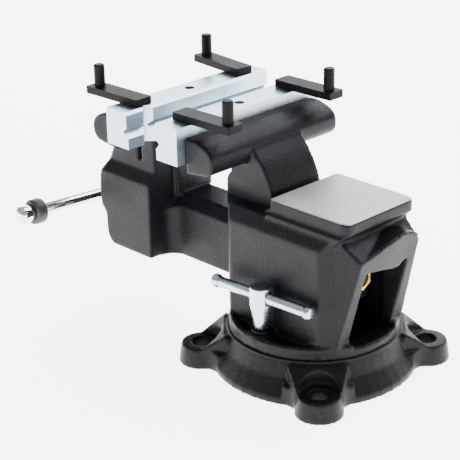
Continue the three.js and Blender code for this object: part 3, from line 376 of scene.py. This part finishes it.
def piece_from(bm, name, node, material, smooth_angle=40):
    """Turns a bmesh into a visible piece that stands for one CAD node."""
    mesh = bpy.data.meshes.new(name)
    bm.to_mesh(mesh)
    bm.free()
    piece = bpy.data.objects.new(name, mesh)
    bpy.context.collection.objects.link(piece)
    piece.data.materials.append(material)
    piece.data.shade_smooth()
    with bpy.context.temp_override(object=piece, active_object=piece, selected_objects=[piece]):
        bpy.ops.object.shade_smooth_by_angle(angle=radians(smooth_angle))
    stand_for(piece, node)
    return piece


def copy_of(node, name):
    """A new object with a copy of the node's own mesh, and no material yet."""
    mesh = frame["nodes"][node].data.copy()
    mesh.materials.clear()
    piece = bpy.data.objects.new(name, mesh)
    bpy.context.collection.objects.link(piece)
    return piece


def apply_modifiers(piece):
    """Makes the modified mesh the piece's own."""
    graph = bpy.context.evaluated_depsgraph_get()
    mesh = bpy.data.meshes.new_from_object(piece.evaluated_get(graph))
    old = piece.data
    piece.modifiers.clear()
    piece.data = mesh
    bpy.data.meshes.remove(old)


CAST_EDGE_FACTOR = 0.5
CAST_EDGE_ROUNDS = 5  # rounds of smoothing: each takes a little more off a sharp edge


def cast(name, node, material, voxel, true_up=None):
    """A casting: the node's solid with every edge and inside corner rounded as sand casting leaves it."""
    piece = copy_of(node, name)
    remesh = piece.modifiers.new("sand_mould", "REMESH")
    remesh.mode = "VOXEL"
    remesh.voxel_size = voxel * MM
    remesh.use_smooth_shade = True
    soften = piece.modifiers.new("cast_edges", "SMOOTH")
    soften.factor = CAST_EDGE_FACTOR
    soften.iterations = CAST_EDGE_ROUNDS
    apply_modifiers(piece)
    if true_up:
        true_up(piece.data)
    piece.data.materials.clear()
    piece.data.materials.append(material)
    piece.data.shade_smooth()
    stand_for(piece, node)


make_camera()
MOUNTS = {mount["name"]: Vector(mount["pos_m"]) for mount in frame["record"]["mounts"]}
ANVIL_TOP = MOUNTS["anvil_face"].z
ANVIL_FRONT = 34 * MM  # from the middle of the anvil's face to just in front of it
ANVIL_START_Y = MOUNTS["anvil_face"].y - ANVIL_FRONT

BODY_OF = {node: body for body, nodes in frame["record"]["behaviour"]["bodies"].items() for node in nodes}
SLOT_OF = {entry["node"]: entry["material_slot"] for entry in frame["record"]["subparts"]}

COAT = black_powder_coat()
COAT_WITH_ANVIL = black_powder_coat(with_ground_anvil=True)
ZINC_BAR = zinc_plate()
ZINC = zinc_fastener()
OXIDE = black_oxide()
CHROME = polished_chrome()
STEEL = oiled_steel()
BRASS = turned_brass()
RUBBER = moulded_rubber()

# ---------------------------------------------------------------- castings
BASE_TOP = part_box("swivel_base")[1].z
BASE_TOP_R = 56 * MM
BASE_TURNED_FROM_R = 45 * MM  # in the T slot's mouth: only the lip outside it is turned
BASE_TURNED_BAND = 1.6 * MM  # how deep the turning tool reaches, down and in from the rim
BASE_FACE_BAND = 0.9 * MM
BASE_RIM_DRAFT = 0.2
FOOT_Z = BASE_TOP + 0.3 * MM
FOOT_R = BASE_TOP_R - 1.4 * MM
FOOT_RIM_BAND = 4 * MM
FOOT_BAND = 1.3 * MM
FOOT_FACE_BAND = 0.6 * MM
ANVIL_FACE_BAND = 0.8 * MM
FACING_UP = 0.9  # least upward part of a normal that counts as the top face


def true_base_top(mesh):
    """The base's top and its outer edge are turned after casting, so the swivel joint stays a thin line."""
    for vertex in mesh.vertices:
        out = Vector((vertex.co.x, vertex.co.y, 0))
        if vertex.co.z > BASE_TOP - BASE_TURNED_BAND and out.length > BASE_TURNED_FROM_R:
            if out.length > BASE_TOP_R - BASE_TURNED_BAND:
                rim = BASE_TOP_R + (BASE_TOP - vertex.co.z) * BASE_RIM_DRAFT
                vertex.co.xy = out.normalized().xy * rim
            elif vertex.co.z > BASE_TOP - BASE_FACE_BAND:
                vertex.co.z = BASE_TOP


def true_foot_and_anvil(mesh):
    """The anvil's face is ground flat with a crisp edge, and the foot is turned where it meets the base."""
    for vertex in mesh.vertices:
        near_top = abs(vertex.co.z - ANVIL_TOP) < ANVIL_FACE_BAND and vertex.co.y > ANVIL_START_Y
        if near_top and vertex.normal.z > FACING_UP:
            vertex.co.z = ANVIL_TOP
    for vertex in mesh.vertices:
        near_foot = abs(vertex.co.z - FOOT_Z) < FOOT_BAND
        if near_foot and vertex.co.xy.length > BASE_TOP_R - FOOT_RIM_BAND:
            vertex.co.xy = vertex.co.xy.normalized() * FOOT_R
            if vertex.co.z < FOOT_Z + FOOT_FACE_BAND:
                vertex.co.z = FOOT_Z


cast("cast_swivel_base", "swivel_base", COAT, voxel=1.0, true_up=true_base_top)
cast("cast_vise_body", "vise_body", COAT_WITH_ANVIL, voxel=1.0, true_up=true_foot_and_anvil)
cast("cast_moving_jaw", "moving_jaw", COAT, voxel=0.9)


# ---------------------------------------------------------------- turned and milled pieces
def ring_of(bm, centre, axis_u, axis_v, radius, sides):
    ring = []
    for i in range(sides):
        angle = 2 * pi * i / sides
        ring.append(bm.verts.new(centre + radius * (cos(angle) * axis_u + sin(angle) * axis_v)))
    return ring


def join_rings(bm, low, high):
    """A band of faces between two rings; a ring of one point is a tip."""
    sides = max(len(low), len(high))
    for i in range(sides):
        j = (i + 1) % sides
        if len(low) == 1:
            bm.faces.new((low[0], high[j], high[i]))
        elif len(high) == 1:
            bm.faces.new((low[i], low[j], high[0]))
        else:
            bm.faces.new((low[i], low[j], high[j], high[i]))


def turned(name, node, material, start, axis, profile, sides=64):
    """A turned piece; the profile is (distance along the axis, radius) in millimetres."""
    axis = Vector(axis).normalized()
    axis_u = axis.orthogonal().normalized()
    axis_v = axis.cross(axis_u)
    start = Vector(start)
    bm = bmesh.new()
    rings = []
    for along, radius in profile:
        centre = start + axis * (along * MM)
        if radius <= 0:
            rings.append([bm.verts.new(centre)])
        else:
            rings.append(ring_of(bm, centre, axis_u, axis_v, radius * MM, sides))
    for low, high in zip(rings, rings[1:]):
        join_rings(bm, low, high)
    if len(rings[0]) > 1 and len(rings[-1]) > 1:  # no tips: the profile closes on itself round a bore
        join_rings(bm, rings[-1], rings[0])
    bmesh.ops.recalc_face_normals(bm, faces=bm.faces)
    return piece_from(bm, name, node, material)


def mirrored(half_length, end):
    """A profile with the same end on both sides; the end's places are measured inwards from it."""
    near = [(-half_length + inwards, radius) for inwards, radius in end]
    far = [(half_length - inwards, radius) for inwards, radius in reversed(end)]
    return near + far


BEVEL_SEGMENTS = 2
SHARP_EDGE = 35  # degrees between two faces, from which an edge is broken


def eased(node, name, material, edge):
    """The node's own solid with every sharp edge broken by a small bevel, edge millimetres wide."""
    piece = copy_of(node, name)
    bevel = piece.modifiers.new("broken_edges", "BEVEL")
    bevel.width = edge * MM
    bevel.segments = BEVEL_SEGMENTS
    bevel.limit_method = "ANGLE"
    bevel.angle_limit = radians(SHARP_EDGE)
    bevel.harden_normals = True
    apply_modifiers(piece)
    piece.data.materials.clear()
    piece.data.materials.append(material)
    stand_for(piece, node)


eased("moving_jaw_bar", "milled_moving_jaw_bar", ZINC_BAR, edge=0.5)
eased("static_jaw_bar", "milled_static_jaw_bar", ZINC_BAR, edge=0.5)
for side in SIDES:
    for jaw in JAWS:
        arm = f"{side}_{jaw}_arm"
        eased(arm, f"swing_{arm}", OXIDE, edge=0.35)
        eased(f"{arm}_pin", f"upright_{arm}_pin", OXIDE, edge=0.3)


# ---------------------------------------------------------------- handle
def middle(node):
    low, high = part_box(node)
    return (low + high) / 2


DRILL_SIDES = 48


def drill(start, axis, radius, length):
    """A round cutter, radius and length in millimetres."""
    turn = axis.to_track_quat("Z", "Y").to_matrix().to_4x4()
    bm = bmesh.new()
    bmesh.ops.create_cone(
        bm, cap_ends=True, segments=DRILL_SIDES, radius1=radius * MM, radius2=radius * MM, depth=length * MM,
        matrix=Matrix.Translation(start) @ turn,
    )
    mesh = bpy.data.meshes.new("drill")
    bm.to_mesh(mesh)
    bm.free()
    cutter = bpy.data.objects.new("drill", mesh)
    bpy.context.collection.objects.link(cutter)
    return cutter


def drill_hole(piece, start, axis, radius, length):
    """Cuts a round hole through a piece, and keeps its smooth shading."""
    cutter = drill(start, axis, radius, length)
    hole = piece.modifiers.new("drilled", "BOOLEAN")
    hole.operation = "DIFFERENCE"
    hole.solver = "EXACT"
    hole.object = cutter
    apply_modifiers(piece)
    bpy.data.objects.remove(cutter)


KNOBS = {side: middle(f"{side}_handle_knob") for side in SIDES}
HANDLE_MIDDLE = (KNOBS["right"] + KNOBS["left"]) / 2
HANDLE_AXIS = (KNOBS["right"] - KNOBS["left"]).normalized()
KNOB_OUT = (KNOBS["right"] - HANDLE_MIDDLE).length / MM

# Radii and lengths in millimetres; an end's profile is (how far inwards, radius).
HANDLE_R = 4.05
HANDLE_CHAMFER = 0.3
STUB_R = 2.5  # the reduced end that each knob is pressed on
STUB_LENGTH = 6.6
KNOB_R = 6.3
KNOB_HALF = 5.7
KNOB_BORE_R = STUB_R + 0.4
KNOB_GAP = 0.4
# The knob's outside, as (how far from its inner face, how far in from its full radius).
KNOB_OUTLINE = [(0, 0.5), (0.5, 0), (7.2, 0), (8.6, 0.5), (9.7, 1.5), (10.5, 3.0), (10.9, 4.8), (11.0, KNOB_R)]
COLLAR_R = 8.6
COLLAR_HALF = 4.4
COLLAR_CLEARANCE = 0.2
COLLAR_END = [
    (0, HANDLE_R + COLLAR_CLEARANCE), (0, COLLAR_R - 1.2), (0.5, COLLAR_R - 0.4), (1.4, COLLAR_R),
]
HANDLE_END = [(-STUB_LENGTH, STUB_R), (0, STUB_R), (0, HANDLE_R - HANDLE_CHAMFER), (0.4, HANDLE_R)]

turned(
    "chromed_handle_bar", "handle_bar", CHROME,
    HANDLE_MIDDLE, HANDLE_AXIS, mirrored(KNOB_OUT - KNOB_HALF - KNOB_GAP, HANDLE_END),
)
for side, sign in (("right", 1), ("left", -1)):
    knob_start = KNOB_OUT - KNOB_HALF
    turned(
        f"chromed_{side}_knob", f"{side}_handle_knob", CHROME,
        HANDLE_MIDDLE, sign * HANDLE_AXIS,
        [(knob_start, KNOB_BORE_R)]
        + [(knob_start + outwards, KNOB_R - inwards) for outwards, inwards in KNOB_OUTLINE],
    )
    collar_out = (middle(f"{side}_handle_collar") - HANDLE_MIDDLE).length / MM
    turned(
        f"rubber_{side}_collar", f"{side}_handle_collar", RUBBER,
        HANDLE_MIDDLE, sign * HANDLE_AXIS,
        [(collar_out + along, radius) for along, radius in mirrored(COLLAR_HALF, COLLAR_END)],
    )

# ---------------------------------------------------------------- screw
# A turned head with the handle's hole, and a trapezoidal thread of one start.
# Radii and lengths are in millimetres.
ALONG_SCREW = Vector((0, 1, 0))
SCREW_R = 7.0
SCREW_HEAD_R = 11.0
SCREW_HEAD_SIDES = 72
# The head's crown, as (how far from its front, how far in from its full radius).
SCREW_CROWN = [(0, 3.2), (0.6, 2.2), (2.4, 0.4), (3.2, 0)]
SHOULDER_CHAMFER = 0.5
THREAD_OVERLAP = 0.5  # how far the thread's length reaches into the head
SCREW_BORE_R = SCREW_R + 0.4
SCREW_END_R = SCREW_R - 2
SCREW_END_BORE_R = SCREW_END_R + 0.3
SCREW_END_CHAMFER = 0.8
SCREW_END_OVERLAP = 1
SHOULDER_GAP = 0.3
HANDLE_HOLE_R = HANDLE_R + 0.4
HANDLE_HOLE_LENGTH = 40
THREAD_PITCH = 5.0
THREAD_DEPTH = 1.5
THREAD_CREST = 0.14  # half of the crest's width, and also a flank's width, as parts of the pitch
THREAD_RUN_OUT = 3
THREAD_ROWS_PER_TURN = 12
THREAD_SIDES = 36
THREAD_SMOOTH_ANGLE = 50
THREAD_FROM_WASHER = 8
screw_low, screw_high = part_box("main_screw")
SCREW_START = Vector((0, screw_low.y, (screw_low.z + screw_high.z) / 2))
shoulder = (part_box("screw_front_washer")[0].y - screw_low.y) / MM - SHOULDER_GAP
end_step = (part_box("screw_end_washer")[0].y - screw_low.y) / MM - SHOULDER_GAP
screw_length = (screw_high.y - screw_low.y) / MM


def thread_radius(along, angle, start, end):
    """Radius of the trapezoidal thread, which runs out at both ends."""
    phase = (along / THREAD_PITCH - angle / (2 * pi)) % 1
    flank = min(max((abs(phase - 0.5) - THREAD_CREST) / THREAD_CREST, 0), 1)
    run_out = min(max(min(along - start, end - along) / THREAD_RUN_OUT, 0), 1)
    return SCREW_R - THREAD_DEPTH * flank * run_out


def threaded_rod(name, node, material, start, end, plain_from):
    """The threaded length of the screw, plain where it runs in the block's bore."""
    bm = bmesh.new()
    rings = []
    step = THREAD_PITCH / THREAD_ROWS_PER_TURN
    count = int((end - plain_from) / step)
    for row in range(count + 1):
        along = min(plain_from + row * step, end)
        ring = []
        for i in range(THREAD_SIDES):
            angle = 2 * pi * i / THREAD_SIDES
            radius = thread_radius(along, angle, start, end) * MM
            place = Vector((radius * sin(angle), along * MM, radius * cos(angle)))
            ring.append(bm.verts.new(SCREW_START + place))
        rings.append(ring)
    for low, high in zip(rings, rings[1:]):
        join_rings(bm, low, high)
    bm.faces.new(rings[0])
    bm.faces.new(rings[-1])
    bmesh.ops.recalc_face_normals(bm, faces=bm.faces)
    piece_from(bm, name, node, material, THREAD_SMOOTH_ANGLE)


head = turned(
    "turned_screw_head", "main_screw", STEEL,
    SCREW_START, ALONG_SCREW,
    [(0, 0)]
    + [(back, SCREW_HEAD_R - inwards) for back, inwards in SCREW_CROWN]
    + [(shoulder - SHOULDER_CHAMFER, SCREW_HEAD_R), (shoulder, SCREW_HEAD_R - SHOULDER_CHAMFER),
       (shoulder, 0)],
    sides=SCREW_HEAD_SIDES,
)
drill_hole(head, HANDLE_MIDDLE, HANDLE_AXIS, HANDLE_HOLE_R, HANDLE_HOLE_LENGTH)
thread_from = (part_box("screw_inner_washer")[1].y - screw_low.y) / MM + THREAD_FROM_WASHER
threaded_rod(
    "rolled_screw_thread", "main_screw", STEEL,
    start=thread_from, end=end_step, plain_from=shoulder - THREAD_OVERLAP,
)
turned(
    "turned_screw_end", "main_screw", STEEL,
    SCREW_START, ALONG_SCREW,
    [(end_step - SCREW_END_OVERLAP, 0), (end_step - SCREW_END_OVERLAP, SCREW_END_R),
     (screw_length - SCREW_END_CHAMFER, SCREW_END_R), (screw_length, SCREW_END_R - SCREW_END_CHAMFER),
     (screw_length, 0)],
)


OUTER_BREAK = 0.3
INNER_BREAK = 0.2


def washer(node, name, material, axis, inner):
    """A flat washer with its edges broken, the size of its node; inner is its bore's radius."""
    low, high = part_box(node)
    centre = (low + high) / 2
    half = (high - low).dot(axis) / MM / 2
    outer = max(high - low) / 2 / MM
    turned(
        name, node, material, centre, axis,
        [(-half, inner + INNER_BREAK), (-half, outer - OUTER_BREAK), (-half + OUTER_BREAK, outer),
         (half - OUTER_BREAK, outer), (half, outer - OUTER_BREAK), (half, inner + INNER_BREAK),
         (half - INNER_BREAK, inner), (-half + INNER_BREAK, inner)],
    )


washer("screw_front_washer", "stamped_front_washer", ZINC, ALONG_SCREW, SCREW_BORE_R)
washer("screw_inner_washer", "stamped_inner_washer", ZINC, ALONG_SCREW, SCREW_BORE_R)
washer("screw_end_washer", "stamped_end_washer", ZINC, ALONG_SCREW, SCREW_END_BORE_R)
eased("screw_end_nut", "milled_end_nut", BRASS, edge=0.35)
eased("screw_split_pin", "rolled_split_pin", STEEL, edge=0.2)
eased("main_nut", "cast_main_nut", STEEL, edge=0.6)
eased("nut_bolt", "hex_nut_bolt", STEEL, edge=0.3)
for jaw in JAWS:
    eased(f"{jaw}_bar_bolt", f"socket_{jaw}_bar_bolt", STEEL, edge=0.2)
    for side in SIDES:
        pivot = f"{side}_{jaw}_arm_pivot"
        eased(pivot, f"turned_{pivot}", STEEL, edge=0.2)

# ---------------------------------------------------------------- swivel locks
UP = Vector((0, 0, 1))
LOCK_WASHER_BORE_R = 4.2
SHANK_R = 3.75
SHANK_TIP_R = 3.2
# The spindle's head, a cone under a short cylinder, as (height from its top, radius).
SPINDLE_HEAD = [
    (-28.2, SHANK_R), (-28.2, 4.4), (-27.8, 4.75), (-21.0, 5.6), (-15.5, 6.6), (-12.0, 7.25),
    (-0.6, 7.3), (-0.15, 7.1), (0, 6.7), (0, 0),
]
SPINDLE_SIDES = 72
T_BAR_SIDES = 48
T_BAR_HOLE_R = 3.85
T_BAR_HOLE_LENGTH = 30
T_BAR_ENDS_BREADTH = 8.8  # what the bar's round ends add to its box across its length
# A rolled button on each end, a neck, and then the bar, as (how far inwards, radius).
T_BAR_END = [
    (0, 0), (0, 2.9), (0.5, 3.9), (1.3, 4.35), (3.4, 4.35), (4.2, 3.9), (4.5, 3.2), (5.2, 3.2), (5.6, 3.5),
]

for side in SIDES:
    eased(f"{side}_lock_t_nut", f"forged_{side}_t_nut", STEEL, edge=0.5)
for side in SIDES:
    washer(f"{side}_lock_washer", f"stamped_{side}_lock_washer", OXIDE, UP, LOCK_WASHER_BORE_R)
    spindle_node, bar_node = f"{side}_lock_screw", f"{side}_lock_bar"
    low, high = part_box(spindle_node)
    bar_low, bar_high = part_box(bar_node)
    bar_middle = middle(bar_node)
    lean = (bar_high.x - bar_low.x) / MM - T_BAR_ENDS_BREADTH
    run = (bar_high.y - bar_low.y) / MM
    bar_axis = Vector((-lean, run, 0)).normalized()
    foot = (low.z - high.z) / MM
    spindle = turned(
        f"turned_{spindle_node}", spindle_node, ZINC,
        Vector((bar_middle.x, bar_middle.y, high.z)), UP,
        [(foot, 0), (foot, SHANK_TIP_R), (foot + 0.7, SHANK_R)] + SPINDLE_HEAD,
        sides=SPINDLE_SIDES,
    )
    drill_hole(spindle, bar_middle, bar_axis, T_BAR_HOLE_R, T_BAR_HOLE_LENGTH)
    turned(
        f"turned_{bar_node}", bar_node, ZINC,
        bar_middle, bar_axis, mirrored(run / 2, T_BAR_END),
        sides=T_BAR_SIDES,
    )

# ---------------------------------------------------------------- the CAD nodes behind the pieces
FINISH_OF = {
    "zinc_plate": ZINC,
    "plain_steel": STEEL,
    "chrome_plate": CHROME,
    "black_rubber": RUBBER,
    "brass": BRASS,
    "black_oxide": OXIDE,
    "black_coat": COAT,
}
for node, solid in frame["nodes"].items():
    solid.data.materials.clear()
    solid.data.materials.append(FINISH_OF[SLOT_OF[node]])

make_studio()
